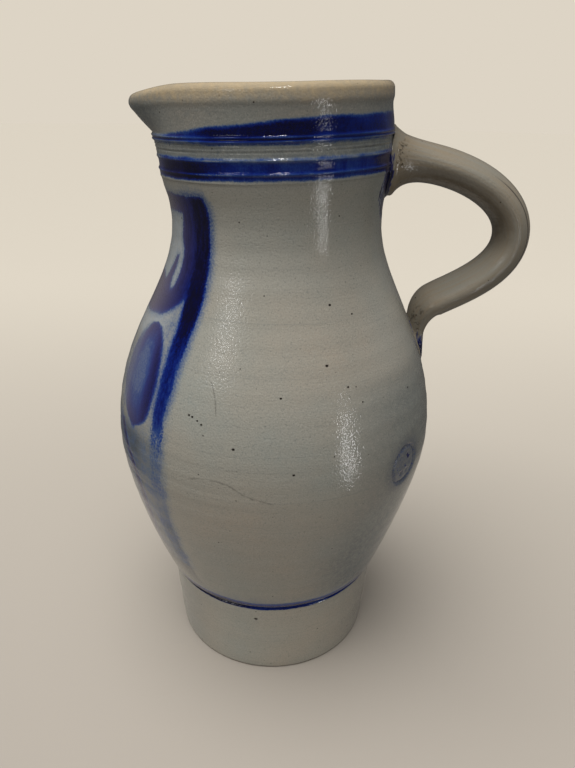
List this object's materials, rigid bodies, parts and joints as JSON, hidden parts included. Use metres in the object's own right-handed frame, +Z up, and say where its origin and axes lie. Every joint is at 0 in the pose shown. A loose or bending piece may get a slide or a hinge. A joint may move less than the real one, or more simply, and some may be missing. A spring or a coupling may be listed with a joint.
{
  "type": "stoneware jug",
  "caption": "Grey salt-glazed stoneware jug with a full belly, straight foot, ribbed collar, pulled spout and bowed handle, for holding and pouring liquids.",
  "frame": {"origin": "centre of the flat underside of the foot", "axes": "+Z up along the axis that the jug was thrown on, +X towards the handle, -X towards the spout"},
  "size_m": [0.2468, 0.1986, 0.36],
  "materials": {
    "stoneware": "salt glaze over grey clay, painted in cobalt blue",
    "slip": "smeared slip under salt glaze, with pooled cobalt blue"
  },
  "bodies": {
    "root": {"thrown_body": "stoneware", "pulled_handle": "stoneware", "upper_luting": "slip", "lower_luting": "slip"}
  },
  "joints": []
}
